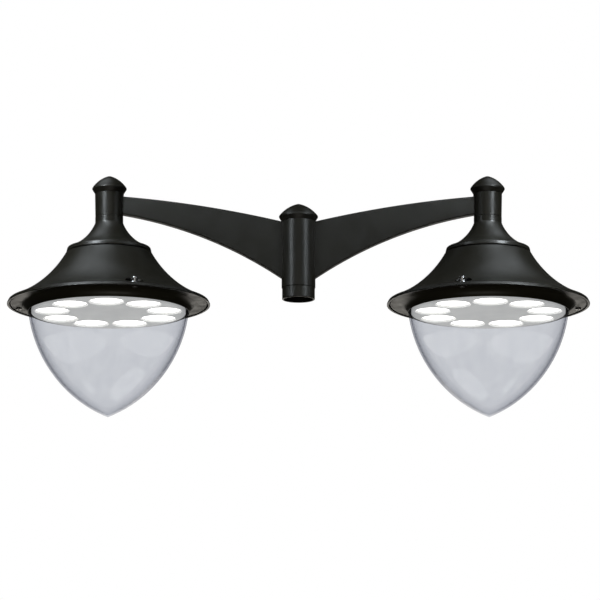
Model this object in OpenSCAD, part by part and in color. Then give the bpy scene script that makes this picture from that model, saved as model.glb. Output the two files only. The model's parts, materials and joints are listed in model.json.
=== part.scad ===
// Twin-arm column-top bracket with two pendant LED lanterns.
// Origin: centre of the collar's mouth. +Z up, +X along the right arm, front towards -Y.
// Lantern parts are drawn about their own axis, with z = 0 at the canopy's bottom lip.

/* [Post collar] */
// Radius of the column that the collar slips over
column_r = 38; // [30:0.5:42]
// Radial gap between column and collar bore
column_gap = 0.4; // [0.2:0.1:0.8]
// Depth of the socket for the column
socket_depth = 150; // [120:5:160]
// Wall of the collar
collar_wall = 6.6; // [5.5:0.1:9]
// Height of the collar, from its mouth to the cap
collar_h = 212; // [205:1:225]
// Height of the thinner skirt at the collar's mouth
skirt_h = 32; // [10:1:45]
// How much thinner the skirt's wall is
skirt_step = 1.5; // [0.5:0.1:2.5]
// How far the post cap stands out past the collar
post_cap_lip = 7; // [3:0.5:12]
// Height of the post cap's dome above its widest point
post_cap_rise = 34; // [20:1:45]
// Radius of the post cap's ogive side
post_cap_crown = 93; // [65:1:140]

/* [Arms] */
// Distance from the post's axis to each lantern's axis
lantern_offset = 505; // [440:5:620]
// Thickness of an arm across its flat faces
arm_t = 28; // [22:1:36]
// Wall of the hollow arm
arm_wall = 4; // [2:0.5:6]
// Height of the arm's lower edge where it meets the collar
arm_root_low = 58; // [40:1:90]
// Height of the arm's upper edge where it meets the collar
arm_root_high = 211; // [190:1:211]
// Rise of the curved lower edge above its chord
arm_low_bow = 24.5; // [5:0.5:40]
// Rise of the curved upper edge above its chord
arm_high_bow = 8; // [2:0.5:20]
// Distance from the sleeve's lower end to the arm's lower edge
arm_tip_low = 6; // [3:0.5:15]
// Depth of the arm where it meets the sleeve
arm_tip_depth = 48.5; // [40:0.5:52]

/* [Sleeve] */
// How far the collar's mouth is above the canopy's lip
lantern_drop = 15; // [0:1:60]
// Radius of the sleeve at its lower end
sleeve_low_r = 37; // [34:0.5:44]
// Radius of the sleeve at its upper end
sleeve_high_r = 38.5; // [35:0.5:46]
// Height of the sleeve
sleeve_h = 64; // [60:1:80]
// Wall of the sleeve's upper chamber
sleeve_wall = 7; // [5:0.5:9]
// Length of the sleeve's bearing bore for the stem
bearing_h = 17; // [12:1:24]
// How far the sleeve cap stands out past the sleeve
sleeve_cap_lip = 7.5; // [3:0.5:12]
// Height of the sleeve cap's dome above its widest point
sleeve_cap_rise = 34; // [20:1:45]
// Radius of the sleeve cap's ogive side
sleeve_cap_crown = 80; // [60:1:120]
// Outer radius of the threaded stem
stem_r = 21; // [18:0.5:24]
// Wall of the threaded stem
stem_wall = 5; // [3:0.5:6]

/* [Canopy] */
// Radius of the canopy at its lip
rim_r = 270; // [250:1:330]
// Height of the canopy from its lip to its top plate
canopy_h = 140; // [115:1:170]
// Radius of the canopy at its top plate
canopy_top_r = 115; // [100:1:135]
// Radius of the canopy's concave flare
flare_r = 298; // [240:1:400]
// Wall of the canopy
canopy_wall = 4; // [2.5:0.5:6]
// Height of the vertical lip
lip_h = 9.5; // [8:0.5:12]
// Width of the lip
lip_w = 6; // [4:0.5:8]

/* [Neck casting] */
// Height of the neck casting
neck_h = 96; // [85:1:125]
// Radius of the neck's concave flare
neck_flare_r = 117; // [100:1:150]
// Radius of the rounded shoulder ring
shoulder_r = 113; // [100:1:130]
// Height of the shoulder ring's outer face
shoulder_h = 13; // [11:0.5:16]
// Rounding of the shoulder ring's top edge
shoulder_round = 6; // [3:0.5:8]

/* [Bowl] */
// Outer radius of the bowl at its mouth
bowl_r = 213; // [190:0.5:225]
// Height of the bowl below the frame ring's collar
bowl_h = 282.6; // [220:0.2:345]
// Radius of the bowl's ogive arc
bowl_arc_r = 356; // [320:1:470]
// Wall of the bowl
bowl_wall = 4; // [3:0.5:5]

/* [Frame ring] */
// How far the ring's collar reaches below the canopy's lip
collar_drop = 20; // [10:0.5:24]
// Height of the ring's flat land above the canopy's lip
land_z = 2; // [1:0.5:3]
// Thickness of the ring's flat land
land_t = 4; // [3:0.5:4.5]
// Radius of the cove between the land and the collar
cove_r = 22; // [12:0.5:22]
// Width of the collar's bottom edge
collar_edge = 2; // [1.5:0.5:4]

/* [Light engine] */
// How far the panel's face hangs below the ring's collar
panel_drop = 2; // [-3:0.5:4]
// Number of LED lights
lights = 9; // [6:1:9]
// Radius of the circle that the lights stand on
light_ring_r = 151; // [135:1:153]
// Radius of each light's cup at the panel's face
light_r = 47; // [30:1:47]
// Depth of each light's cup
cup_depth = 5.5; // [4:0.5:8]
// Radius of each light's cup at its lens
cup_inner_r = 44; // [26:1:45]
// Rise of each lens's dome
lens_rise = 4; // [1:0.5:6]
// Length, width and height of the LED driver
driver_size = [150, 62, 38]; // [40:1:170]

/* [Fasteners] */
// Radius of the circle of the captive screws
screw_ring_r = 247; // [240:0.5:250]
// Angle of the first captive screw
screw_start = 12; // [0:1:119]
// Radius of a captive screw's shank
screw_r = 4; // [3:0.5:5]
// Radius of a barrel nut
barrel_r = 9.5; // [8:0.5:11]
// Height of a barrel nut above its pocket's floor
barrel_h = 13; // [8:1:16]
// Radius of the pocket around a barrel nut
pocket_r = 25; // [15:1:26]

/* [Cables] */
// Radius of the supply cables
cable_r = 4.5; // [3:0.5:5]

/* [Hidden] */
$fn = 128;
big = 2000;
cut = 1;               // overrun of a cutting solid past the face that it cuts
run_gap = 0.06;        // radial clearance of a turning or sliding fit
joint_gap = 0.3;       // clearance between faces on different bodies
gasket_t = 3;          // flange gasket
gasket_in = 4;         // how far the flange gasket lies inside the shoulder's face
screws = 3;

// Bracket, worked out
bore_r = column_r + column_gap;
collar_r = bore_r + collar_wall;
stop_t = 8;            // ledge that the column's top meets
stop_r = 28;
plug_h = 14;           // spigot of a cap inside its tube
plug_gap = 0.2;        // radial clearance of that spigot
cap_edge = 3;          // height of a cap's widest edge
cap_under = 12;        // height of a cap's undercut
cable_hole_r = cable_r + 3.5;
set_screw_r = 5;
set_screw_z = [62, 112];

// Lantern, heights above the canopy's lip
flange_z = canopy_h + gasket_t;
neck_top = flange_z + neck_h;
sleeve_z = neck_top + joint_gap;
sleeve_top = sleeve_z + sleeve_h;
chamber_z = sleeve_z + bearing_h;
nut_h = 10;
nut_r = 28;
stem_low = flange_z + 12;
stem_top = chamber_z + joint_gap + nut_h + 2;
arm_x = lantern_offset - sleeve_low_r;

// Canopy and neck flares
function arc_centre(p, q, r, s) =
    let (d = q - p, h = sqrt(r * r - d * d / 4))
    (p + q) / 2 + s * h * [-d[1], d[0]] / norm(d);
flare_c = arc_centre([canopy_top_r, canopy_h], [rim_r - 4, lip_h], flare_r, 1);
neck_r = sleeve_low_r + 0.3;
shoulder_z = flange_z + shoulder_h;
neck_straight = 16;    // straight length at the top of the neck
neck_c = arc_centre([neck_r, neck_top - neck_straight],
                    [shoulder_r - shoulder_round - 1, shoulder_z], neck_flare_r, 1);
neck_wall = 5;
top_plate_t = 6;
top_hole_r = 80;
flange_in_r = 88;
flange_t = 8;
flange_bolt_ring = 97;
flange_bolt_r = 3;

// Frame ring and bowl
ring_gap = 2.5;        // gap between the ring and the canopy's lip
ring_r = rim_r - lip_w - ring_gap;
ring_in_r = bowl_r + 0.6;
ring_top = land_z + land_t;
rim_under = ring_top + 2;                  // canopy's face above the frame seal
bowl_gasket_t = 1;
bowl_flange_t = 2.5;
bowl_flange_r = bowl_r + 6;
clamp_t = 1.5;
clamp_r = bowl_flange_r + 9;
clamp_in_r = bowl_r - bowl_wall + 1;
clamp_screw_ring = bowl_flange_r + 5;
bowl_flange_z = ring_top + bowl_gasket_t;
clamp_z = bowl_flange_z + bowl_flange_t;
clamp_top = clamp_z + clamp_t;
bowl_c = arc_centre([0, -collar_drop - bowl_h], [bowl_r, -collar_drop], bowl_arc_r, 1);
seal_in_r = clamp_r + 3.5;
seal_w = 4;

// Light engine
engine_r = bowl_r - bowl_wall - 4;         // everything that hangs inside the bowl's mouth
face_z = -collar_drop - panel_drop;        // panel's visible face
panel_t = 1.6;
cup_top = face_z + cup_depth;
cup_slope = (light_r - cup_inner_r) / cup_depth;
lens_t = 3;
board_t = 1.6;
board_r = cup_inner_r - 3;
sink_z = cup_top + lens_t + board_t;
sink_t = 6;
sink_wall = 6;
sink_flange_z = clamp_top + 2.5;
sink_flange_t = 4;
sink_flange_r = engine_r + 11;
ledge_z = sink_flange_z + sink_flange_t;
ledge_t = 6;
engine_screw_ring = engine_r + 5;
fin_h = 24;
fin_t = 3;
fin_pitch = 16;
gear_z = ledge_z + 32;
gear_t = 2;
gear_r = 140;
pillar_ring = 125;

// Captive screws and barrel nuts
pocket_z = clamp_top + joint_gap + 3;
pocket_wall = 3.5;
barrel_top = pocket_z + barrel_h;
screw_top = barrel_top - 5;
head_r = 8;
head_h = 4;

// Cables: routes in the plane of the arms, bends of named radii
bend_r = 21;
block_size = [34, 22, 26];
block_z = socket_depth + stop_t + 16;
cable_in_z = lantern_drop_z(chamber_z) + 26;
cable_slope = atan((cable_in_z - block_z) / (lantern_offset - bend_r - 60));
plug_r = 12;
plug_h_in = 40;
plug_z = stem_top - 90;
socket_top = plug_z - joint_gap;
socket_h = 34;
lead_r = 4;

function lantern_drop_z(z) = z - lantern_drop;

SIDES = ["left", "right"];
BRACKET = ["post_collar", "post_cap", "collar_set_screws", "hub_connector"];
ARM = ["arm", "sleeve", "sleeve_cap", "supply_cable"];
LANTERN = ["neck_casting", "canopy", "stem", "stem_nut", "flange_gasket", "flange_bolts",
    "gear_plate", "driver", "lantern_lead", "heat_sink", "led_panel", "led_boards",
    "lenses", "panel_screws", "barrel_nuts", "frame_ring", "frame_seal", "bowl",
    "bowl_gasket", "bowl_clamp", "clamp_screws",
    "captive_screw_1", "captive_screw_2", "captive_screw_3"];

// ---- Shared shapes ----

module mirror_for(side) {
    mirror([side == "left" ? 1 : 0, 0, 0]) children();
}

// Puts a lantern part, drawn about its own axis, at its arm's end.
module at_lantern(side) {
    mirror_for(side) translate([lantern_offset, 0, -lantern_drop]) children();
}

// Repeats children evenly round the axis, at radius r.
module around(count, r, start = 0) {
    for (i = [0 : count - 1]) rotate(start + 360 * i / count) translate([r, 0, 0]) children();
}

module tube(r, in_r, h) {
    difference() {
        cylinder(r = r, h = h);
        translate([0, 0, -cut]) cylinder(r = in_r, h = h + 2 * cut);
    }
}

// Domed cap: an ogive on a short edge, an undercut below it and a spigot that plugs the tube.
module domed_cap(tube_r, plug_r, lip, rise, crown_r) {
    r = tube_r + lip;
    crown_c = arc_centre([0, cap_under + cap_edge + rise], [r, cap_under + cap_edge], crown_r, -1);
    rotate_extrude() intersection() {
        square([big, big]);
        union() {
            polygon([[0, 0], [tube_r, 0], [r, cap_under], [r, cap_under + cap_edge],
                     [0, cap_under + cap_edge]]);
            intersection() {
                translate([0, cap_under + cap_edge]) square([r, rise]);
                translate(crown_c) circle(r = crown_r);
            }
        }
    }
    translate([0, 0, -plug_h]) tube(plug_r, plug_r - 4, plug_h);
}

// Sweeps a round cable along a route of [x, z] points in the plane of the arms.
module swept(route, r, sides = 10) {
    n = len(route);
    dirs = [for (i = [0 : n - 1])
        let (d = route[min(i + 1, n - 1)] - route[max(i - 1, 0)]) d / norm(d)];
    points = [for (i = [0 : n - 1], k = [0 : sides - 1])
        let (a = 360 * k / sides, u = [-dirs[i][1], dirs[i][0]] * r * cos(a))
        [route[i][0] + u[0], r * sin(a), route[i][1] + u[1]]];
    walls = [for (i = [0 : n - 2], k = [0 : sides - 1])
        let (a = i * sides + k, b = i * sides + (k + 1) % sides)
        [a, b, b + sides, a + sides]];
    ends = [[for (k = [sides - 1 : -1 : 0]) k], [for (k = [0 : sides - 1]) (n - 1) * sides + k]];
    polyhedron(points, concat(walls, ends), convexity = 4);
}

// Points on an arc of radius r about c, from angle a to angle b.
function arc(c, r, a, b, steps) =
    [for (i = [0 : steps]) let (t = a + (b - a) * i / steps) c + r * [cos(t), sin(t)]];

// ---- Bracket ----

module post_collar() color("#383a36") difference() {
    union() {
        cylinder(r = collar_r - skirt_step, h = skirt_h + cut);
        translate([0, 0, skirt_h]) cylinder(r = collar_r, h = collar_h - skirt_h);
    }
    translate([0, 0, -cut]) cylinder(r = bore_r, h = socket_depth + cut);
    translate([0, 0, socket_depth - cut]) cylinder(r = stop_r, h = stop_t + 2 * cut);
    translate([0, 0, socket_depth + stop_t]) cylinder(r = bore_r, h = collar_h);
    for (z = set_screw_z) translate([0, bore_r - cut, z]) rotate([-90, 0, 0])
        cylinder(r = set_screw_r, h = collar_r);
    for (s = [-1, 1]) translate([0, 0, block_z]) rotate([0, 90 * s, 0])
        cylinder(r = cable_hole_r, h = 2 * collar_r);
}

module post_cap() color("#30322e") translate([0, 0, collar_h])
    domed_cap(collar_r, bore_r - plug_gap, post_cap_lip, post_cap_rise, post_cap_crown);

module collar_set_screws() color("#8a8c88") for (z = set_screw_z)
    translate([0, bore_r + 0.5, z]) rotate([-90, 0, 0]) difference() {
        cylinder(r = set_screw_r - 0.05, h = collar_wall - 1);
        translate([0, 0, collar_wall - 4]) cylinder(r = 2.9, h = 4, $fn = 6);
    }

module hub_connector() color("#d8d8d0") translate([0, 0, block_z]) union() {
    cube(block_size, center = true);
    translate([0, 0, -block_size[2] / 2 - 6]) cylinder(r = 9, h = 7);
    translate([-stop_r - 4, -6, -block_z + socket_depth + stop_t]) cube([2 * stop_r + 8, 12, 3]);
    for (x = [-12, 12]) translate([x, 0, -block_size[2] / 2 - 1.5]) cube([4, 8, 4], center = true);
}

// Region under a curved edge that runs from p to q and rises by bow above its chord.
module under_edge(p, q, bow, inset = 0) {
    half = norm(q - p) / 2;
    r = (half * half + bow * bow) / (2 * bow);
    translate(arc_centre(p, q, r, -1)) circle(r = r - inset, $fn = 256);
}

// Side outline of an arm, drawn in from its edges by inset.
module arm_outline(inset = 0) {
    low_z = lantern_drop_z(sleeve_z + arm_tip_low);
    difference() {
        intersection() {
            translate([0, arm_root_low - 60]) square([lantern_offset, big]);
            under_edge([collar_r, arm_root_high], [arm_x, low_z + arm_tip_depth],
                       arm_high_bow, inset);
        }
        under_edge([collar_r, arm_root_low], [arm_x, low_z], arm_low_bow, -inset);
    }
}

module arm_slab(t, inset = 0) {
    translate([0, t / 2, 0]) rotate([90, 0, 0]) linear_extrude(t) arm_outline(inset);
}

module arm(side) color("#2e302b") mirror_for(side) difference() {
    arm_slab(arm_t);
    arm_slab(arm_t - 2 * arm_wall, arm_wall);
    cylinder(r = collar_r, h = big);
    translate([lantern_offset, 0, -lantern_drop]) sleeve_body();
}

// Outside of a sleeve, solid.
module sleeve_body() {
    translate([0, 0, sleeve_z]) cylinder(r1 = sleeve_low_r, r2 = sleeve_high_r, h = sleeve_h);
}

module sleeve(side) color("#383a36") at_lantern(side) difference() {
    sleeve_body();
    translate([0, 0, sleeve_z - cut]) cylinder(r = stem_r + run_gap, h = sleeve_h);
    translate([0, 0, chamber_z]) cylinder(r = sleeve_low_r - sleeve_wall, h = sleeve_h);
    translate([0, 0, chamber_z + 25]) rotate([0, -90, 0])
        cylinder(r = cable_hole_r, h = 2 * sleeve_high_r);
}

module sleeve_cap(side) color("#30322e") at_lantern(side) translate([0, 0, sleeve_top])
    domed_cap(sleeve_high_r, sleeve_low_r - sleeve_wall - plug_gap, sleeve_cap_lip,
              sleeve_cap_rise, sleeve_cap_crown);

// Cable from the hub's connector, through the arm and down the stem to an inline plug.
module supply_cable(side) color("#1c1c1c") mirror_for(side) union() {
    bend = [lantern_offset - bend_r, cable_in_z - bend_r];
    start = [block_size[0] / 2, block_z];
    swept(concat([start, [collar_r + 12, block_z]],
                 arc(bend, bend_r, 90 + cable_slope, 0, 8),
                 [[lantern_offset, lantern_drop_z(plug_z + plug_h_in) - 1]]), cable_r);
    translate([lantern_offset, 0, lantern_drop_z(plug_z)]) cylinder(r = plug_r, h = plug_h_in);
}

// ---- Lantern: upper part ----

module neck_casting() color("#3a3c38") difference() {
    rotate_extrude() difference() {
        union() {
            translate([0, flange_z]) square([shoulder_r, shoulder_h - shoulder_round]);
            translate([0, flange_z]) square([shoulder_r - shoulder_round, shoulder_h]);
            translate([shoulder_r - shoulder_round, shoulder_z - shoulder_round])
                intersection() {
                    circle(r = shoulder_round);
                    square(shoulder_round + cut);
                }
            difference() {
                translate([0, flange_z])
                    square([shoulder_r - shoulder_round, neck_h - neck_straight]);
                translate(neck_c) circle(r = neck_flare_r);
            }
            translate([0, neck_top - neck_straight - cut]) square([neck_r, neck_straight + cut]);
        }
        // Hollow below the boss that holds the stem
        difference() {
            translate([0, flange_z - cut]) square([flange_in_r, 40 + cut]);
            translate(neck_c) circle(r = neck_flare_r + neck_wall);
        }
    }
    translate([0, 0, flange_z]) cylinder(r = stem_r + run_gap, h = neck_h + cut);
    around(4, flange_bolt_ring, 45) translate([0, 0, flange_z - cut])
        cylinder(r = flange_bolt_r + 0.1, h = 7 + cut);
}

module canopy() color("#3a3c38") difference() {
    intersection() {
        union() {
            rotate_extrude() canopy_section();
            around(screws, screw_ring_r, screw_start) canopy_boss();
        }
        rotate_extrude() difference() {
            square([rim_r, canopy_h]);
            translate(flare_c) circle(r = flare_r);
        }
    }
    around(screws, screw_ring_r, screw_start) {
        translate([0, 0, pocket_z]) cylinder(r = pocket_r, h = canopy_h);
        cylinder(r = barrel_r + run_gap, h = canopy_h);
    }
    around(4, flange_bolt_ring, 45) cylinder(r = flange_bolt_r + 0.3, h = canopy_h + cut);
    around(6, engine_screw_ring, 30) cylinder(r = 2.1, h = ledge_z + 4);
    // Room for the clamp ring below the bosses
    cylinder(r = seal_in_r - cut, h = clamp_top + joint_gap);
}

// Flared wall, top plate, lip, sealing rib and the ledge that the heat sink bolts to.
module canopy_section() {
    difference() {
        translate([0, rim_under]) square([rim_r, canopy_h - rim_under]);
        difference() {
            translate([-cut, -cut]) square([big, canopy_h - top_plate_t + cut]);
            translate(flare_c) circle(r = flare_r + canopy_wall);
        }
        square([top_hole_r, canopy_h + cut]);
    }
    translate([rim_r - lip_w, 1]) square([lip_w - 1, lip_h]);
    translate([rim_r - lip_w + 1, 0]) square([lip_w - 2, lip_h]);
    translate([rim_r - lip_w + 1, 1]) square([lip_w - 1, lip_h - 3]);
    translate([rim_r - lip_w - 6, rim_under]) square([8, 3]);
    translate([seal_in_r - 1, rim_under]) square([seal_w + 2, 20]);
    translate([engine_r + 1, ledge_z]) square([seal_in_r - engine_r, ledge_t]);
}

// Thickened wall round one barrel nut's pocket.
module canopy_boss() {
    translate([0, 0, rim_under]) cylinder(r = barrel_r + 4, h = pocket_z);
    translate([0, 0, clamp_top + joint_gap]) cylinder(r = pocket_r + pocket_wall, h = canopy_h / 4);
}

module stem() color("#a8a9a4") translate([0, 0, stem_low])
    tube(stem_r, stem_r - stem_wall, stem_top - stem_low);

module stem_nut() color("#a8a9a4") translate([0, 0, chamber_z + joint_gap]) difference() {
    cylinder(r = nut_r, h = nut_h, $fn = 6);
    translate([0, 0, -cut]) cylinder(r = stem_r + run_gap, h = nut_h + 2 * cut);
}

module flange_gasket() color("#161616") difference() {
    translate([0, 0, canopy_h]) tube(shoulder_r - gasket_in, top_hole_r + 4, gasket_t);
    around(4, flange_bolt_ring, 45) cylinder(r = flange_bolt_r + 0.3, h = big);
}

module flange_bolts() color("#b5b6b2") around(4, flange_bolt_ring, 45)
    translate([0, 0, canopy_h - top_plate_t]) difference() {
        union() {
            cylinder(r = flange_bolt_r, h = top_plate_t + gasket_t + 6);
            translate([0, 0, -5]) cylinder(r = 5, h = 5);
        }
        translate([0, 0, -5 - cut]) cylinder(r = 2.5, h = 4, $fn = 6);
    }

// ---- Lantern: gear and light engine ----

module gear_plate() color("#c4c5c2") difference() {
    translate([0, 0, gear_z]) cylinder(r = gear_r, h = gear_t);
    around(3, pillar_ring, 90) cylinder(r = 3, h = big);
    translate([0, 62, 0]) cylinder(r = 14, h = big);
}

module driver() color("#e4e4e0") translate([0, 0, gear_z + gear_t]) difference() {
    union() {
        translate([-driver_size[0] / 2, -driver_size[1] / 2, 0]) cube(driver_size);
        translate([-driver_size[0] / 2 - 12, -15, 0]) cube([driver_size[0] + 24, 30, 3]);
    }
    for (s = [-1, 1]) translate([s * (driver_size[0] / 2 + 6), 0, -cut]) cylinder(r = 2.5, h = 9);
}

// Inline socket under the plug, with its lead down to the driver.
module lantern_lead() color("#1c1c1c") union() {
    socket_low = socket_top - socket_h;
    driver_top = gear_z + gear_t + driver_size[2];
    drop = socket_low - driver_top;
    translate([0, 0, socket_low]) cylinder(r = plug_r, h = socket_h);
    swept([[0, socket_low + cut], [0, socket_low - drop / 5], [3, driver_top + drop * 0.6],
           [14, driver_top + drop * 0.3], [17, driver_top + drop / 8], [17, driver_top]], lead_r);
}

module heat_sink() color("#9fa19e") difference() {
    union() {
        translate([0, 0, sink_z]) cylinder(r = engine_r, h = sink_t);
        translate([0, 0, sink_z])
            tube(engine_r, engine_r - sink_wall, sink_flange_z + sink_flange_t - sink_z);
        translate([0, 0, sink_flange_z])
            tube(sink_flange_r, engine_r - sink_wall, sink_flange_t);
        intersection() {
            for (i = [-8 : 8]) translate([-big / 2, i * fin_pitch - fin_t / 2, sink_z])
                cube([big, fin_t, sink_t + fin_h]);
            cylinder(r = engine_r - 20, h = big);
        }
        around(3, pillar_ring, 90) translate([0, 0, sink_z])
            cylinder(r = 7, h = gear_z - sink_z);
    }
    around(6, engine_screw_ring, 30) cylinder(r = 2.3, h = big);
}

module led_panel() color("#b0b0ac") difference() {
    union() {
        rotate_extrude() difference() {
            translate([0, face_z]) square([engine_r, sink_z - face_z]);
            translate([-cut, face_z + panel_t]) square([engine_r - panel_t + cut, big]);
        }
        around(lights, light_ring_r, -90) translate([0, 0, face_z + panel_t / 2])
            cylinder(r1 = light_r + panel_t, r2 = cup_inner_r + panel_t,
                     h = cup_depth - panel_t / 2);
    }
    around(lights, light_ring_r, -90) translate([0, 0, face_z - cut])
        cylinder(r1 = light_r + cup_slope * cut, r2 = cup_inner_r - cup_slope * cut,
                 h = cup_depth + 2 * cut);
}

module lenses() color("#fbfaf2") around(lights, light_ring_r, -90) {
    ball = (cup_inner_r * cup_inner_r + lens_rise * lens_rise) / (2 * lens_rise);
    translate([0, 0, cup_top]) union() {
        cylinder(r = cup_inner_r + 1, h = lens_t);
        intersection() {
            translate([0, 0, ball - lens_rise]) sphere(r = ball);
            translate([0, 0, -lens_rise - cut]) cylinder(r = cup_inner_r - 0.5, h = lens_rise + 2 * cut);
        }
    }
}

module led_boards() color("#f2f2ee") around(lights, light_ring_r, -90)
    translate([0, 0, cup_top + lens_t]) cylinder(r = board_r, h = board_t);

module panel_screws() color("#b5b6b2") around(6, engine_screw_ring, 30)
    translate([0, 0, sink_flange_z]) union() {
        translate([0, 0, -1.8]) cylinder(r = 3.4, h = 1.8);
        translate([0, 0, -cut]) cylinder(r = 2, h = sink_flange_t + 4 + cut);
    }

module barrel_nuts() color("#c9cacb") around(screws, screw_ring_r, screw_start) difference() {
    union() {
        translate([0, 0, rim_under]) cylinder(r = barrel_r, h = barrel_top - rim_under - 1.5);
        translate([0, 0, barrel_top - 1.5]) cylinder(r1 = barrel_r, r2 = barrel_r - 1.5, h = 1.5);
    }
    cylinder(r = screw_r + run_gap, h = screw_top + 1);
    translate([0, 0, barrel_top - 2]) cube([2, 3 * barrel_r, 4 + cut], center = true);
}

// ---- Lantern: lower frame ----

module frame_ring() color("#33352f") difference() {
    rotate_extrude() difference() {
        union() {
            translate([ring_in_r, land_z]) square([ring_r - ring_in_r, land_t]);
            translate([ring_in_r, -collar_drop])
                square([collar_edge + cove_r, collar_drop + land_z + cut]);
        }
        translate([ring_in_r + collar_edge + cove_r, land_z - cove_r]) circle(r = cove_r);
        translate([ring_in_r + collar_edge, -collar_drop - cut])
            square([big, collar_drop + land_z - cove_r + cut]);
    }
    around(screws, screw_ring_r, screw_start) translate([0, 0, -cut])
        cylinder(r = screw_r + run_gap, h = ring_top + 2 * cut);
    around(12, clamp_screw_ring, 5) translate([0, 0, ring_top - 2.5]) cylinder(r = 1.55, h = 4);
}

module frame_seal() color("#161616") translate([0, 0, ring_top])
    tube(seal_in_r + seal_w, seal_in_r, rim_under - ring_top - joint_gap);

module bowl() color("#d5dadf", 0.35) rotate_extrude() union() {
    intersection() {
        translate([0, -collar_drop - bowl_h]) square([big, bowl_h]);
        difference() {
            translate(bowl_c) circle(r = bowl_arc_r);
            translate(bowl_c) circle(r = bowl_arc_r - bowl_wall);
        }
    }
    translate([bowl_r - bowl_wall, -collar_drop - 0.01])
        square([bowl_wall, bowl_flange_z + bowl_flange_t + collar_drop + 0.01]);
    translate([bowl_r - bowl_wall, bowl_flange_z])
        square([bowl_flange_r - bowl_r + bowl_wall, bowl_flange_t]);
}

module bowl_gasket() color("#161616") translate([0, 0, ring_top])
    tube(bowl_flange_r, bowl_r + 0.8, bowl_gasket_t);

module bowl_clamp() color("#8c8e8a") difference() {
    translate([0, 0, ring_top]) tube(clamp_r, clamp_in_r, clamp_top - ring_top);
    cylinder(r = bowl_flange_r + 0.5, h = clamp_z);
    around(12, clamp_screw_ring, 5) cylinder(r = 1.7, h = big);
}

module clamp_screws() color("#b5b6b2") around(12, clamp_screw_ring, 5)
    translate([0, 0, ring_top - 2.4]) cylinder(r = 1.5, h = clamp_top - ring_top + 2.4);

// One captive screw: a socket button head under the ring and a shank up into its barrel nut.
module captive_screw(i) color("#8f918d") rotate(screw_start + 120 * (i - 1))
    translate([screw_ring_r, 0, 0]) difference() {
        union() {
            translate([0, 0, land_z - head_h]) cylinder(r1 = head_r - 1.5, r2 = head_r, h = 1.5);
            translate([0, 0, land_z - head_h + 1.5])
                cylinder(r = head_r, h = head_h - 1.5 - joint_gap);
            translate([0, 0, land_z - 1]) cylinder(r = screw_r, h = screw_top - land_z + 1);
        }
        translate([0, 0, land_z - head_h - cut]) cylinder(r = 3, h = 2.4 + cut, $fn = 6);
    }

// ---- Nodes ----

post_collar();
post_cap();
collar_set_screws();
hub_connector();
for (side = SIDES) {
    arm(side);
    sleeve(side);
    sleeve_cap(side);
    supply_cable(side);
}
for (side = SIDES) at_lantern(side) {
    neck_casting();
    canopy();
    stem();
    stem_nut();
    flange_gasket();
    flange_bolts();
    gear_plate();
    driver();
    lantern_lead();
    heat_sink();
    led_panel();
    led_boards();
    lenses();
    panel_screws();
    barrel_nuts();
    frame_ring();
    frame_seal();
    bowl();
    bowl_gasket();
    bowl_clamp();
    clamp_screws();
    for (i = [1 : screws])
        captive_screw(i);
}
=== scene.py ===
import json
from math import atan2, cos, hypot, pi, radians, sin, sqrt, tan

import bmesh
import bpy
from mathutils import Matrix, Vector


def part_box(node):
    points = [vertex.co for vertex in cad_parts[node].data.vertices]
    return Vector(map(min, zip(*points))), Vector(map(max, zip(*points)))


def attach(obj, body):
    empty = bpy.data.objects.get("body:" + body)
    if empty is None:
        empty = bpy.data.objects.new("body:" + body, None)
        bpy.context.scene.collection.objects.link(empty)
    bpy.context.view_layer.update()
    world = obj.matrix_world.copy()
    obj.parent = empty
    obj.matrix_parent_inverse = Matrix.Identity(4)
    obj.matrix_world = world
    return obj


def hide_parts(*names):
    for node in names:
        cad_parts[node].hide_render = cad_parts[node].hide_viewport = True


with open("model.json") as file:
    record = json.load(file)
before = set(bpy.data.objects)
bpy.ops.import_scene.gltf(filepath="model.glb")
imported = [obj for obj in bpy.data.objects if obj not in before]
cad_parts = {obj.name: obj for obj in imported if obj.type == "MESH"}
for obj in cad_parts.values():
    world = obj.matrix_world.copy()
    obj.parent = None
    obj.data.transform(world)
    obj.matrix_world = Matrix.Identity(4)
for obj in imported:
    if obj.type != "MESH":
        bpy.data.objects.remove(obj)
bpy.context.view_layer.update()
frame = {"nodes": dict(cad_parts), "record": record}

MM = 0.001
SIDES = {"left": -1, "right": 1}
STEPS = 160            # faces round a large turned piece
SMALL_STEPS = 48       # faces round a small one
SHARP = radians(38)    # edges that turn by more than this stay sharp


# ---- Sizes, in millimetres: read from the frame, or as the design states them ----

def extent(node):
    """Lowest and highest corners of a CAD node, in millimetres."""
    low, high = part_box(node)
    return low / MM, high / MM


def half_width(node):
    low, high = extent(node)
    return (high.x - low.x) / 2


CANOPY_LOW, CANOPY_HIGH = extent("right_canopy")
LANTERN_X = (CANOPY_LOW.x + CANOPY_HIGH.x) / 2
LIP_Z = CANOPY_LOW.z                 # lantern heights below are above this level
RIM_R = half_width("right_canopy")
CANOPY_H = CANOPY_HIGH.z - LIP_Z
CANOPY_TOP_R = 115
FLARE_R = 298
CANOPY_WALL = 4
LIP_H = 9.5
LIP_W = 6
NECK_LOW = extent("right_neck_casting")[0].z - LIP_Z
NECK_TOP = extent("right_neck_casting")[1].z - LIP_Z
NECK_STRAIGHT = 16
NECK_FLARE_R = 117
SHOULDER_R = half_width("right_neck_casting")
SHOULDER_H = 13
SHOULDER_ROUND = 6
SLEEVE_LOW = extent("right_sleeve")[0].z - LIP_Z
SLEEVE_TOP = extent("right_sleeve")[1].z - LIP_Z
SLEEVE_LOW_R = 37
SLEEVE_HIGH_R = half_width("right_sleeve")
SLEEVE_BORE_R = 21.06
CHAMBER_R = 30
BEARING_H = 17
NECK_R = SLEEVE_LOW_R + 0.3
COLLAR_R = half_width("post_collar")
COLLAR_TOP = extent("post_collar")[1].z
BORE_R = 38.4
SKIRT_STEP = 1.5
SKIRT_H = 32
SOCKET_DEPTH = 150
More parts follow.
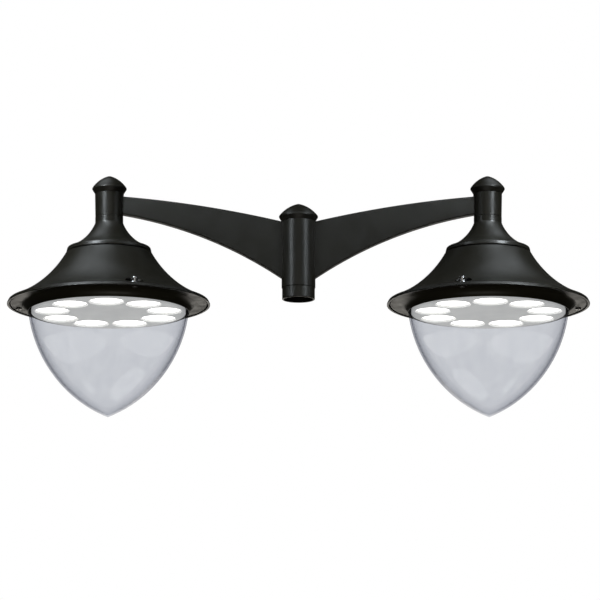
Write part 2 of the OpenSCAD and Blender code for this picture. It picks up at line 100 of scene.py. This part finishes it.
STOP_T = 8
STOP_R = 28
CAP_UNDER = 12
CAP_EDGE = 3
POST_CAP = (52, 34, 93)              # widest radius, rise of the dome, radius of its side
SLEEVE_CAP = (46, 34, 80)
SET_SCREW_Z = (62, 112)
SET_SCREW_HOLE_R = 5.05
ARM_T = extent("right_arm")[1].y * 2
ARM_ROOT = (58, 211)                 # lower and upper edge at the collar
ARM_TIP = (SLEEVE_LOW + LIP_Z + 6, SLEEVE_LOW + LIP_Z + 54.5)
ARM_BOW = (24.5, 8)
RING_R = half_width("right_frame_ring")
RING_IN_R = 213.6
LAND_Z = 2
LAND_T = 4
COVE_R = 22
COLLAR_EDGE = 2
COLLAR_DROP = 20
BOWL_R = 213
BOWL_H = 282.6
BOWL_ARC_R = 356
BOWL_WALL = 4
BOWL_FLANGE = (7, 9.5, 6)            # underside, top and overhang
ENGINE_R = half_width("right_led_panel")
PANEL_Z = extent("right_led_panel")[0].z - LIP_Z
PANEL_T = 1.6
LIGHTS = 9
LIGHT_RING_R = 151
LIGHT_R = 47
CUP_R = 44
CUP_DEPTH = 5.5
LENS_RISE = 4
SCREW_RING_R = 247
SCREW_START = 12
POCKET_R = 25
POCKET_Z = 14.3
BARREL_R = 9.5
BARREL_Z = (8, 27.3)
SCREW_HEAD = (8, 4)                  # radius and height of a captive screw's head
SCREW_R = 4


# ---- Outlines: lists of (radius, height) ----

def arc_centre(p, q, r, side):
    """Centre of the arc of radius r through p and q, on the given side of the line p to q."""
    dx, dz = q[0] - p[0], q[1] - p[1]
    chord = hypot(dx, dz)
    h = sqrt(r * r - chord * chord / 4) * side / chord
    return (p[0] + q[0]) / 2 - dz * h, (p[1] + q[1]) / 2 + dx * h


def arc(p, q, r, side, steps):
    """Points on that arc, from p to q."""
    cx, cz = arc_centre(p, q, r, side)
    a = atan2(p[1] - cz, p[0] - cx)
    b = atan2(q[1] - cz, q[0] - cx)
    if b - a > pi:
        b -= 2 * pi
    if a - b > pi:
        b += 2 * pi
    return [(cx + r * cos(a + (b - a) * i / steps), cz + r * sin(a + (b - a) * i / steps))
            for i in range(steps + 1)]


def eased(corners, steps=5, closed=True):
    """Outline with its corners rounded: a corner is (x, z) or (x, z, radius)."""
    out = []
    count = len(corners)
    for i, corner in enumerate(corners):
        p = Vector(corner[:2])
        radius = corner[2] if len(corner) > 2 else 0
        if not radius or (not closed and i in (0, count - 1)):
            out.append(tuple(p))
            continue
        to_last = (Vector(corners[i - 1][:2]) - p).normalized()
        to_next = (Vector(corners[(i + 1) % count][:2]) - p).normalized()
        half = to_last.angle(to_next) / 2
        reach = radius / tan(half)
        centre = p + (to_last + to_next).normalized() * radius / sin(half)
        a = p + to_last * reach - centre
        b = p + to_next * reach - centre
        turn = a.angle(b)
        for k in range(steps + 1):
            t = k / steps
            spoke = a * sin((1 - t) * turn) / sin(turn) + b * sin(t * turn) / sin(turn)
            out.append(tuple(centre + spoke))
    return guarded(out, closed)


def guarded(points, closed, near=0.8, long=6.0):
    """Adds a point close to each end of every long straight, which keeps its shading flat."""
    out = []
    count = len(points)
    for i in range(count if closed else count - 1):
        p, q = Vector(points[i]), Vector(points[(i + 1) % count])
        out.append(tuple(p))
        length = (q - p).length
        if length > long:
            out.append(tuple(p.lerp(q, near / length)))
            out.append(tuple(p.lerp(q, 1 - near / length)))
    if not closed:
        out.append(tuple(points[-1]))
    return out


# ---- Mesh building ----

def new_object(name, verts, faces):
    """Closed mesh from points in millimetres, faces outwards, shaded smooth."""
    mesh = bpy.data.meshes.new(name)
    mesh.from_pydata([[c * MM for c in v] for v in verts], [], faces)
    bm = bmesh.new()
    bm.from_mesh(mesh)
    bmesh.ops.remove_doubles(bm, verts=bm.verts, dist=1e-6)
    bmesh.ops.recalc_face_normals(bm, faces=bm.faces)
    bm.to_mesh(mesh)
    bm.free()
    shade(mesh)
    obj = bpy.data.objects.new(name, mesh)
    bpy.context.scene.collection.objects.link(obj)
    return obj


def shade(mesh):
    """Smooth shading, with sharp edges where the surface turns."""
    mesh.polygons.foreach_set("use_smooth", [True] * len(mesh.polygons))
    mesh.set_sharp_from_angle(angle=SHARP)


def turned(name, outline, at=(0, 0, 0), steps=STEPS):
    """Solid of revolution about a vertical axis: a closed outline, or one from axis to axis."""
    closed = outline[0][0] > 0
    verts, faces = [], []
    rows = len(outline)
    for k in range(steps):
        a = 2 * pi * k / steps
        verts += [(at[0] + r * cos(a), at[1] + r * sin(a), at[2] + z) for r, z in outline]
    for k in range(steps):
        here, there = k * rows, (k + 1) % steps * rows
        for i in range(rows if closed else rows - 1):
            j = (i + 1) % rows
            quad = [here + i, here + j, there + j, there + i]
            if outline[i][0] == 0:
                quad = [here + i, here + j, there + j]
            elif outline[j][0] == 0:
                quad = [here + i, here + j, there + i]
            faces.append(quad)
    return new_object(name, verts, faces)


def joined(name, parts):
    """One object from several."""
    bm = bmesh.new()
    for part in parts:
        bm.from_mesh(part.data)
        bpy.data.objects.remove(part)
    mesh = bpy.data.meshes.new(name)
    bm.to_mesh(mesh)
    bm.free()
    shade(mesh)
    obj = bpy.data.objects.new(name, mesh)
    bpy.context.scene.collection.objects.link(obj)
    return obj


def apply_modifiers(obj):
    bpy.context.view_layer.update()
    depsgraph = bpy.context.evaluated_depsgraph_get()
    mesh = bpy.data.meshes.new_from_object(obj.evaluated_get(depsgraph))
    obj.modifiers.clear()
    obj.data = mesh


def carved(obj, cutter):
    """obj with cutter's space taken away."""
    mod = obj.modifiers.new("cut", "BOOLEAN")
    mod.operation = "DIFFERENCE"
    mod.solver = "EXACT"
    mod.object = cutter
    apply_modifiers(obj)
    bpy.data.objects.remove(cutter)
    shade(obj.data)
    return obj


def plug(name, radius, low, high, at, steps=SMALL_STEPS):
    return turned(name, [(0, low), (radius, low), (radius, high), (0, high)], at, steps)


def hexagon(name, across, low, high, at):
    """Six-sided prism, across its corners."""
    return turned(name, [(0, low), (across / 2, low), (across / 2, high), (0, high)], at, 6)


# ---- Materials ----

def material(name):
    mat = bpy.data.materials.new(name)
    mat.use_nodes = True
    nodes = mat.node_tree.nodes
    return mat, nodes, mat.node_tree.links, nodes["Principled BSDF"]


def noise(nodes, links, scale, detail=3.0, stretch=None):
    """Noise in the object's own space; stretch scales its axes."""
    coords = nodes.new("ShaderNodeTexCoord")
    vector = coords.outputs["Object"]
    if stretch:
        mapping = nodes.new("ShaderNodeMapping")
        mapping.inputs["Scale"].default_value = stretch
        links.new(vector, mapping.inputs["Vector"])
        vector = mapping.outputs["Vector"]
    tex = nodes.new("ShaderNodeTexNoise")
    tex.inputs["Scale"].default_value = scale
    tex.inputs["Detail"].default_value = detail
    links.new(vector, tex.inputs["Vector"])
    return tex.outputs["Fac"]


def ramp(nodes, links, fac, stops):
    node = nodes.new("ShaderNodeValToRGB")
    node.color_ramp.elements[0].position = stops[0][0]
    node.color_ramp.elements[0].color = (*stops[0][1], 1)
    node.color_ramp.elements[1].position = stops[-1][0]
    node.color_ramp.elements[1].color = (*stops[-1][1], 1)
    for position, colour in stops[1:-1]:
        node.color_ramp.elements.new(position).color = (*colour, 1)
    links.new(fac, node.inputs["Fac"])
    return node.outputs["Color"]


def span(nodes, links, fac, low, high, fac_low=0.3, fac_high=0.7):
    node = nodes.new("ShaderNodeMapRange")
    node.inputs["From Min"].default_value = fac_low
    node.inputs["From Max"].default_value = fac_high
    node.inputs["To Min"].default_value = low
    node.inputs["To Max"].default_value = high
    links.new(fac, node.inputs["Value"])
    return node.outputs["Result"]


def bump(nodes, links, shader, height, strength, distance):
    node = nodes.new("ShaderNodeBump")
    node.inputs["Strength"].default_value = strength
    node.inputs["Distance"].default_value = distance * MM
    links.new(height, node.inputs["Height"])
    links.new(node.outputs["Normal"], shader.inputs["Normal"])


def painted(name, dark, light, rough):
    """Satin powder coat: faint clouding, fine orange peel and uneven gloss."""
    mat, nodes, links, shader = material(name)
    clouds = noise(nodes, links, 9, 4)
    colour = ramp(nodes, links, clouds, [(0.3, dark), (0.7, light)])
    links.new(colour, shader.inputs["Base Color"])
    gloss = noise(nodes, links, 34, 5)
    links.new(span(nodes, links, gloss, *rough), shader.inputs["Roughness"])
    bump(nodes, links, shader, noise(nodes, links, 420, 2), 0.12, 0.15)
    return mat


def metal(name, dark, light, rough=(0.2, 0.36), stretch=(1, 1, 30)):
    """Turned or brushed metal with fine tool lines."""
    mat, nodes, links, shader = material(name)
    lines = noise(nodes, links, 90, 4, stretch)
    colour = ramp(nodes, links, lines, [(0.25, dark), (0.75, light)])
    links.new(colour, shader.inputs["Base Color"])
    links.new(span(nodes, links, lines, *rough), shader.inputs["Roughness"])
    shader.inputs["Metallic"].default_value = 1.0
    bump(nodes, links, shader, lines, 0.12, 0.1)
    return mat


def moulded(name, dark, light, rough=(0.45, 0.6), glow=0.0):
    """Plastic or rubber with a fine moulded grain; glow is the lamps' light on it."""
    mat, nodes, links, shader = material(name)
    clouds = noise(nodes, links, 14, 3)
    colour = ramp(nodes, links, clouds, [(0.3, dark), (0.7, light)])
    links.new(colour, shader.inputs["Base Color"])
    if glow:
        links.new(colour, shader.inputs["Emission Color"])
        shader.inputs["Emission Strength"].default_value = glow
    links.new(span(nodes, links, noise(nodes, links, 60, 3), *rough), shader.inputs["Roughness"])
    bump(nodes, links, shader, noise(nodes, links, 300, 2), 0.15, 0.12)
    return mat


def clear_bowl(name):
    """Clear polycarbonate: a cool tint, deeper where the wall is seen edge on, and a gloss."""
    mat, nodes, links, shader = material(name)
    nodes.remove(shader)
    facing = nodes.new("ShaderNodeLayerWeight")
    facing.inputs["Blend"].default_value = 0.5
    edge = nodes.new("ShaderNodeMath")
    edge.operation = "POWER"
    edge.inputs[1].default_value = 5
    links.new(facing.outputs["Facing"], edge.inputs[0])
    lines = noise(nodes, links, 7, 2, (6, 6, 0.6))
    tint = ramp(nodes, links, lines,
                [(0.3, (0.862, 0.870, 0.886)), (0.7, (0.880, 0.886, 0.900))])
    deep = nodes.new("ShaderNodeMix")
    deep.data_type = "RGBA"
    links.new(edge.outputs[0], deep.inputs["Factor"])
    links.new(tint, deep.inputs["A"])
    deep.inputs["B"].default_value = (0.50, 0.51, 0.56, 1)
    through = nodes.new("ShaderNodeBsdfTransparent")
    links.new(deep.outputs["Result"], through.inputs["Color"])
    mirror = nodes.new("ShaderNodeBsdfGlossy")
    mirror.inputs["Color"].default_value = (1, 1, 1, 1)
    mirror.inputs["Roughness"].default_value = 0.03
    share = span(nodes, links, edge.outputs[0], 0.010, 0.3, 0, 1)
    mix = nodes.new("ShaderNodeMixShader")
    links.new(share, mix.inputs["Fac"])
    links.new(through.outputs["BSDF"], mix.inputs[1])
    links.new(mirror.outputs["BSDF"], mix.inputs[2])
    links.new(mix.outputs["Shader"], nodes["Material Output"].inputs["Surface"])
    return mat


def lit_lens(name, strength):
    """Opal lens lit from behind, a little uneven."""
    mat, nodes, links, shader = material(name)
    glow = noise(nodes, links, 25, 2)
    colour = ramp(nodes, links, glow, [(0.3, (1.0, 0.965, 0.90)), (0.7, (1.0, 0.985, 0.95))])
    links.new(colour, shader.inputs["Emission Color"])
    links.new(colour, shader.inputs["Base Color"])
    shader.inputs["Emission Strength"].default_value = strength
    shader.inputs["Roughness"].default_value = 0.35
    return mat


PAINT = painted("paint_dark", (0.0090, 0.0082, 0.0055), (0.0125, 0.0115, 0.0080),
                (0.31, 0.41))
# Darker copy of the dark paint for the arms: painted shade put into their colour; it is also
# rougher.
ARM_PAINT_SHADED = painted("paint_arm_painted_shade", (0.0075, 0.0068, 0.0042), (0.0105, 0.0098, 0.0065),
                    (0.42, 0.54))
# Lighter, warmer copy of the dark paint for the frame ring: painted light, the warm light
# bounced onto the underside put into its colour.
UNDER_PAINT_PAINTED_LIGHT = painted("paint_under_painted_light", (0.0280, 0.0245, 0.0130), (0.0360, 0.0320, 0.0170),
                      (0.34, 0.48))
STEEL = metal("steel", (0.42, 0.42, 0.41), (0.58, 0.58, 0.57))
BRIGHT = metal("bright_steel", (0.66, 0.67, 0.69), (0.82, 0.83, 0.85), (0.12, 0.24))
ZINC = metal("zinc_steel", (0.50, 0.51, 0.50), (0.66, 0.67, 0.65), (0.3, 0.45), (1, 1, 1))
ALUMINIUM = metal("bare_aluminium", (0.55, 0.56, 0.56), (0.68, 0.69, 0.69), (0.35, 0.5),
                  (1, 1, 1))
# The panel's glow is painted light: the lamps' light falling on it, given as emission.
PANEL = moulded("panel_grey", (0.60, 0.60, 0.585), (0.66, 0.66, 0.64), (0.4, 0.55), glow=0.78)
BOARD = moulded("board_white", (0.80, 0.80, 0.78), (0.86, 0.86, 0.84))
LENS = lit_lens("lens_lit", 3.5)
BOWL = clear_bowl("clear_bowl")
GASKET = moulded("gasket_rubber", (0.016, 0.016, 0.016), (0.024, 0.024, 0.024), (0.6, 0.75))
SHEATH = moulded("cable_rubber", (0.015, 0.015, 0.015), (0.022, 0.022, 0.022), (0.5, 0.65))
NYLON = moulded("connector_plastic", (0.70, 0.70, 0.65), (0.78, 0.78, 0.73))
CASE = moulded("driver_case", (0.76, 0.76, 0.73), (0.84, 0.84, 0.81))
BY_SLOT = {
    "painted_dark": PAINT, "painted_arm": ARM_PAINT_SHADED, "painted_under": UNDER_PAINT_PAINTED_LIGHT,
    "steel": STEEL, "bright_steel": BRIGHT, "zinc_steel": ZINC, "bare_aluminium": ALUMINIUM,
    "panel_grey": PANEL, "board_white": BOARD, "lens_white": LENS, "clear_bowl": BOWL,
    "gasket_rubber": GASKET, "cable_rubber": SHEATH, "connector_plastic": NYLON,
    "driver_case": CASE,
}


def dress_frame():
    """Every CAD node that stays in view wears its slot's material."""
    slots = {s["node"]: s["material_slot"] for s in frame["record"]["subparts"]}
    for name, node in frame["nodes"].items():
        node.data.materials.clear()
        node.data.materials.append(BY_SLOT[slots[name]])
        shade(node.data)


def fit(piece, mat, body, slot, *nodes):
    """Gives a piece its material and its body, and hides the nodes that it stands for; slot is
    not used.
    """
    piece.data.materials.clear()
    piece.data.materials.append(mat)
    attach(piece, body)
    if nodes:
        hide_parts(*nodes)
    return piece


# ---- Camera and light ----

VIEW_ELEVATION = 11.7     # the camera looks up at the object by this angle
VIEW_DISTANCE = 14.0
SENSOR = 36.0
FRAMED_WIDTH = 1.596      # width that the picture takes in at the object, in metres
AIM = Vector((0.004, 0, -0.001))


def make_camera():
    data = bpy.data.cameras.new("camera")
    data.sensor_width = SENSOR
    data.lens = SENSOR * VIEW_DISTANCE / FRAMED_WIDTH
    camera = bpy.data.objects.new("camera", data)
    tilt = radians(VIEW_ELEVATION)
    camera.location = AIM + Vector((0, -cos(tilt), -sin(tilt))) * VIEW_DISTANCE
    camera.rotation_euler = (pi / 2 + tilt, 0, 0)
    bpy.context.scene.collection.objects.link(camera)
    bpy.context.scene.camera = camera


def softbox(name, target, azimuth, elevation, distance, size, watts, colour, spread=180):
    """Area light that faces a point; azimuth 0 is in front of it, positive to the right.

    A narrow spread keeps the light off what stands beside its target.
    """
    data = bpy.data.lights.new(name, "AREA")
    data.shape = "RECTANGLE"
    data.size, data.size_y = size
    data.energy = watts
    data.color = colour
    data.spread = radians(spread)
    lamp = bpy.data.objects.new(name, data)
    a, e = radians(azimuth), radians(elevation)
    way = Vector((sin(a) * cos(e), -cos(a) * cos(e), sin(e)))
    lamp.location = Vector(target) + way * distance
    lamp.rotation_euler = way.to_track_quat("Z", "Y").to_euler()
    lamp.visible_camera = False
    bpy.context.scene.collection.objects.link(lamp)


def make_lights():
    """White background for the camera, a faint warm fill, and the softboxes."""
    scene = bpy.context.scene
    scene.view_settings.view_transform = "Standard"
    world = bpy.data.worlds.new("studio")
    scene.world = world
    world.use_nodes = True
    nodes, links = world.node_tree.nodes, world.node_tree.links
    seen = nodes["Background"]
    seen.inputs["Color"].default_value = (1, 1, 1, 1)
    fill = nodes.new("ShaderNodeBackground")
    fill.inputs["Color"].default_value = (1.0, 0.95, 0.84, 1)
    fill.inputs["Strength"].default_value = 0.02
    path = nodes.new("ShaderNodeLightPath")
    mix = nodes.new("ShaderNodeMixShader")
    links.new(path.outputs["Is Camera Ray"], mix.inputs["Fac"])
    links.new(fill.outputs["Background"], mix.inputs[1])
    links.new(seen.outputs["Background"], mix.inputs[2])
    links.new(mix.outputs["Shader"], nodes["World Output"].inputs["Surface"])

    cool = (0.88, 0.95, 1.0)
    warm = (1.0, 0.96, 0.88)
    for sign in SIDES.values():
        lantern = (sign * LANTERN_X * MM, 0, 0.1)
        softbox("key", lantern, sign * 38, 34, 1.5, (0.25, 1.06), 3.3, cool, spread=56)
        softbox("sweep", lantern, sign * 14, 58, 1.6, (1.0, 0.5), 0.8, cool, spread=60)
        softbox("overhead", lantern, sign * 120, 72, 1.0, (0.7, 0.7), 0.26, cool, spread=60)
    softbox("front", (0, 0, 0), 0, 14, 4.5, (2.4, 0.8), 3.6, warm)
    softbox("back", (0, 0, 0), 180, -14, 4.5, (3.0, 0.9), 14, warm)
    softbox("below", (0, 0, 0), 0, -35, 4.0, (3.0, 1.5), 12, warm)


# ---- Bracket pieces ----

def cap_outline(tube_r, widest, rise, crown_r):
    """Ogive dome with a small nose, a narrow edge and an undercut down to the tube's top."""
    edge_z = CAP_UNDER + CAP_EDGE
    dome = arc((0, edge_z + rise), (widest, edge_z), crown_r, -1, 26)
    nose = [p for p in dome if p[0] > 3.5]
    start = [(0, edge_z + rise - 1.6), (1.8, edge_z + rise - 1.75)]
    rest = eased([nose[-2], (widest, edge_z - 0.6, 1.1), (widest, CAP_UNDER, 1.1),
                  (tube_r + 0.4, 0.6, 0.5), (tube_r - 1.5, 0)], 4, False)
    return start + nose[:-2] + rest + [(0, 0)]


def make_bracket():
    collar = [(BORE_R, 1.2), (BORE_R + 1.2, 0),
              (COLLAR_R - SKIRT_STEP, 0, 1.5), (COLLAR_R - SKIRT_STEP, SKIRT_H - 1.5),
              (COLLAR_R, SKIRT_H, 0.8), (COLLAR_R, COLLAR_TOP, 0.4), (BORE_R, COLLAR_TOP),
              (BORE_R, SOCKET_DEPTH + STOP_T), (STOP_R, SOCKET_DEPTH + STOP_T),
              (STOP_R, SOCKET_DEPTH), (BORE_R, SOCKET_DEPTH)]
    post = turned("post_collar_turned", eased(collar))
    for z in SET_SCREW_Z:
        hole = plug("hole", SET_SCREW_HOLE_R, 0, 20, (0, 0, 0), 24)
        hole.data.transform(Matrix.Translation((0, (BORE_R - 4) * MM, z * MM))
                            @ Matrix.Rotation(-pi / 2, 4, "X"))
        post = carved(post, hole)
    fit(post, PAINT, "bracket", "painted_dark", "post_collar")

    cap = turned("post_cap_turned", cap_outline(COLLAR_R, *POST_CAP), (0, 0, COLLAR_TOP))
    fit(cap, PAINT, "bracket", "painted_dark", "post_cap")


def arm_edge(low):
    """One curved edge of the right arm, from the collar to the sleeve."""
    i = 0 if low else 1
    half = hypot(LANTERN_X - SLEEVE_LOW_R - COLLAR_R, ARM_TIP[i] - ARM_ROOT[i]) / 2
    bow = ARM_BOW[i]
    radius = (half * half + bow * bow) / (2 * bow)
    return arc((COLLAR_R, ARM_ROOT[i]), (LANTERN_X - SLEEVE_LOW_R, ARM_TIP[i]), radius, -1, 40)


def make_arm(side, sign):
    low, high = arm_edge(True), arm_edge(False)
    # run a little way into the tubes, so that no gap shows at the joints
    low = [(low[0][0] - 8, low[0][1] - 5)] + low + [(low[-1][0] + 4, low[-1][1] + 0.8)]
    high = [(high[0][0] - 8, high[0][1] - 1.5)] + high + [(high[-1][0] + 4, high[-1][1] + 0.4)]
    count = len(low)
    verts, faces = [], []
    for y in (-ARM_T / 2, ARM_T / 2):
        verts += [(x * sign, y, z) for x, z in low] + [(x * sign, y, z) for x, z in high]
    back = 2 * count
    for i in range(count - 1):
        faces.append((i, i + 1, count + i + 1, count + i))
        faces.append((back + i, back + i + 1, back + count + i + 1, back + count + i))
        faces.append((i, i + 1, back + i + 1, back + i))
        faces.append((count + i, count + i + 1, back + count + i + 1, back + count + i))
    faces.append((0, count, back + count, back))
    faces.append((count - 1, 2 * count - 1, back + 2 * count - 1, back + count - 1))
    arm = new_object(f"{side}_arm_casting", verts, faces)
    mod = arm.modifiers.new("ease", "BEVEL")
    mod.width = 3.2 * MM
    mod.segments = 4
    mod.limit_method = "ANGLE"
    mod.angle_limit = radians(50)
    apply_modifiers(arm)
    shade(arm.data)
    # The arms wear the darker copy of the paint: painted shade.
    return fit(arm, ARM_PAINT_SHADED, "bracket", "painted_arm", f"{side}_arm")


def make_sleeve(side, sign):
    at = (sign * LANTERN_X, 0, LIP_Z)
    sleeve = [(SLEEVE_BORE_R, SLEEVE_LOW + 0.5), (SLEEVE_BORE_R + 0.54, SLEEVE_LOW),
              (SLEEVE_LOW_R, SLEEVE_LOW, 0.9), (SLEEVE_HIGH_R, SLEEVE_TOP, 0.5),
              (CHAMBER_R, SLEEVE_TOP), (CHAMBER_R, SLEEVE_LOW + BEARING_H),
              (SLEEVE_BORE_R, SLEEVE_LOW + BEARING_H)]
    piece = turned(f"{side}_sleeve_turned", eased(sleeve), at)
    fit(piece, PAINT, "bracket", "painted_dark", f"{side}_sleeve")
    cap = turned(f"{side}_sleeve_cap_turned", cap_outline(SLEEVE_HIGH_R, *SLEEVE_CAP),
                 (at[0], 0, LIP_Z + SLEEVE_TOP))
    fit(cap, PAINT, "bracket", "painted_dark", f"{side}_sleeve_cap")


# ---- Lantern pieces ----

def make_neck(side, at):
    shoulder_z = NECK_LOW + SHOULDER_H
    flare = arc((NECK_R, NECK_TOP - NECK_STRAIGHT),
                (SHOULDER_R - SHOULDER_ROUND - 1, shoulder_z), NECK_FLARE_R, 1, 36)
    outline = eased([(21.1, NECK_LOW + 40), (21.1, NECK_TOP), (NECK_R, NECK_TOP, 0.9),
                     *flare[:-1], (*flare[-1], 2.0),
                     (SHOULDER_R - 2.4, shoulder_z - 0.4, SHOULDER_ROUND - 1),
                     (SHOULDER_R, NECK_LOW + 3, 2.0), (SHOULDER_R, NECK_LOW, 1.0),
                     (88, NECK_LOW), (78, NECK_LOW + 14), (50, NECK_LOW + 34)], 8)
    neck = turned(f"{side}_neck_turned", outline, at)
    return fit(neck, PAINT, f"{side}_lantern", "painted_dark", f"{side}_neck_casting")


def lantern_spots(sign, count, radius, start):
    """Places round the right lantern's axis, mirrored for the left one."""
    return [(sign * (LANTERN_X + radius * cos(radians(start + 360 * k / count))),
             radius * sin(radians(start + 360 * k / count)), LIP_Z) for k in range(count)]


def make_canopy(side, sign, at):
    flare = arc((CANOPY_TOP_R, CANOPY_H), (RIM_R - 4, LIP_H), FLARE_R, 1, 60)
    centre = arc_centre(flare[0], flare[-1], FLARE_R, 1)
    inner_r = FLARE_R + CANOPY_WALL
    inner = []
    for i in range(31):
        z = 20 + (CANOPY_H - 6 - 20) * i / 30
        inner.append((centre[0] - sqrt(inner_r ** 2 - (z - centre[1]) ** 2), z))
    outline = eased([(80, CANOPY_H), *flare[:-1], (RIM_R - 3.4, LIP_H - 0.2, 1.2),
                     (RIM_R, 2.4, 2), (RIM_R, 0, 1.0), (RIM_R - LIP_W, 0, 1.4),
                     (RIM_R - LIP_W, 8), (232, 8),
                     (232, 11.3), (207, 11.5), (207, 18), *inner, (80, CANOPY_H - 6)], 5)
    canopy = turned(f"{side}_canopy_spun", outline, at, 240)
    for x, y, z in lantern_spots(sign, 3, SCREW_RING_R, SCREW_START):
        canopy = carved(canopy, plug("pocket", POCKET_R, POCKET_Z, 60, (x, y, z), 64))
        canopy = carved(canopy, plug("hole", BARREL_R + 0.4, 2, 40, (x, y, z)))
    return fit(canopy, PAINT, f"{side}_lantern", "painted_dark", f"{side}_canopy")


def make_barrels(side, sign):
    nuts = []
    low, high = BARREL_Z
    for spot in lantern_spots(sign, 3, SCREW_RING_R, SCREW_START):
        outline = eased([(SCREW_R + 0.1, low), (BARREL_R, low, 0.4), (BARREL_R, high - 1.2, 0.8),
                         (BARREL_R - 1.4, high, 0.6), (SCREW_R + 1, high, 0.3),
                         (SCREW_R + 0.1, high - 3)], 4)
        nuts.append(turned("nut", outline, spot, SMALL_STEPS))
    piece = joined(f"{side}_barrel_nuts_turned", nuts)
    return fit(piece, BRIGHT, f"{side}_lantern", "bright_steel", f"{side}_barrel_nuts")


def make_screws(side, sign):
    radius, height = SCREW_HEAD
    low = LAND_Z - height
    for i, spot in enumerate(lantern_spots(sign, 3, SCREW_RING_R, SCREW_START)):
        side_line = eased([(2, low), (radius - 1.6, low + 0.2, 0.8), (radius, low + 2.2, 0.9),
                           (radius, LAND_Z - 0.3, 0.3), (SCREW_R, LAND_Z - 0.3),
                           (SCREW_R, 21.5, 0.3), (SCREW_R - 0.8, 22.3)], 4, False)
        outline = [(0, low), *side_line, (0, 22.3)]
        screw = turned(f"{side}_captive_screw_turned_{i + 1}", outline, spot, SMALL_STEPS)
        screw = carved(screw, hexagon("key", 6.2, low - 1, low + 2.4, spot))
        fit(screw, STEEL, f"{side}_screw_{i + 1}", "steel", f"{side}_captive_screw_{i + 1}")


def make_ring(side, sign, at):
    cove_top = RING_IN_R + COLLAR_EDGE + COVE_R
    cove = arc((RING_IN_R + COLLAR_EDGE, LAND_Z - COVE_R), (cove_top, LAND_Z), COVE_R, -1, 20)
    outline = eased([(RING_IN_R, -COLLAR_DROP, 0.7), (*cove[0], 0.7),
                     *cove[1:-1], (*cove[-1], 1.0),
                     (RING_R, LAND_Z, 1.2), (RING_R, LAND_Z + LAND_T, 1.0),
                     (RING_IN_R, LAND_Z + LAND_T)], 5)
    ring = turned(f"{side}_frame_ring_cast", outline, at)
    for spot in lantern_spots(sign, 3, SCREW_RING_R, SCREW_START):
        ring = carved(ring, plug("hole", SCREW_R + 0.3, -10, 20, spot, 32))
    # The frame ring wears the lighter copy of the paint: painted light on the underside.
    return fit(ring, UNDER_PAINT_PAINTED_LIGHT, f"{side}_bowl_frame", "painted_under", f"{side}_frame_ring")


def make_bowl(side, at):
    mouth = (BOWL_R, -COLLAR_DROP)
    foot = (0, -COLLAR_DROP - BOWL_H)
    outer = arc(foot, mouth, BOWL_ARC_R, 1, 90)
    centre = arc_centre(foot, mouth, BOWL_ARC_R, 1)
    inner_r = BOWL_ARC_R - BOWL_WALL
    inner_foot = centre[1] - sqrt(inner_r ** 2 - centre[0] ** 2)
    inner = arc((0, inner_foot), (BOWL_R - BOWL_WALL, -COLLAR_DROP), inner_r, 1, 90)
    under, top, lip = BOWL_FLANGE
    flange = [(BOWL_R, under - 1), (BOWL_R + 0.6, under), (BOWL_R + lip, under),
              (BOWL_R + lip, top), (BOWL_R - BOWL_WALL, top)]
    outline = outer + flange + inner[::-1]
    bowl = turned(f"{side}_bowl_blown", outline, at, 200)
    return fit(bowl, BOWL, f"{side}_bowl_frame", "clear_bowl", f"{side}_bowl")


def make_panel(side, sign, at):
    top = PANEL_Z + CUP_DEPTH + 4
    outline = eased([(0, PANEL_Z), (ENGINE_R, PANEL_Z, 0.8), (ENGINE_R, top),
                     (ENGINE_R - PANEL_T, top), (ENGINE_R - PANEL_T, PANEL_Z + CUP_DEPTH),
                     (0, PANEL_Z + CUP_DEPTH)], 4, False)
    panel = turned(f"{side}_led_panel_moulded", outline, at, 180)
    lean = (LIGHT_R - CUP_R) / CUP_DEPTH
    for spot in lantern_spots(sign, LIGHTS, LIGHT_RING_R, -90):
        cup = turned("cup", [(0, PANEL_Z - 1), (LIGHT_R + lean, PANEL_Z - 1),
                             (CUP_R - lean, PANEL_Z + CUP_DEPTH + 1),
                             (0, PANEL_Z + CUP_DEPTH + 1)],
                     spot, 72)
        panel = carved(panel, cup)
    return fit(panel, PANEL, f"{side}_lantern", "panel_grey", f"{side}_led_panel")


def make_lenses(side, sign):
    base = PANEL_Z + CUP_DEPTH
    dome_r = (CUP_R ** 2 + LENS_RISE ** 2) / (2 * LENS_RISE)
    lenses = []
    for spot in lantern_spots(sign, LIGHTS, LIGHT_RING_R, -90):
        dome = arc((0, base - LENS_RISE), (CUP_R - 1, base), dome_r, 1, 14)
        outline = dome + [(CUP_R + 1, base + 0.05), (CUP_R + 1, base + 3), (0, base + 3)]
        lenses.append(turned("lens", outline, spot, 64))
    piece = joined(f"{side}_lenses_moulded", lenses)
    return fit(piece, LENS, f"{side}_lantern", "lens_white", f"{side}_lenses")


def make_lantern(side, sign):
    at = (sign * LANTERN_X, 0, LIP_Z)
    make_neck(side, at)
    make_canopy(side, sign, at)
    make_barrels(side, sign)
    make_panel(side, sign, at)
    make_lenses(side, sign)
    make_ring(side, sign, at)
    make_bowl(side, at)
    make_screws(side, sign)


make_camera()
make_lights()
dress_frame()
make_bracket()
for side, sign in SIDES.items():
    make_arm(side, sign)
    make_sleeve(side, sign)
    make_lantern(side, sign)

bpy.context.view_layer.update()
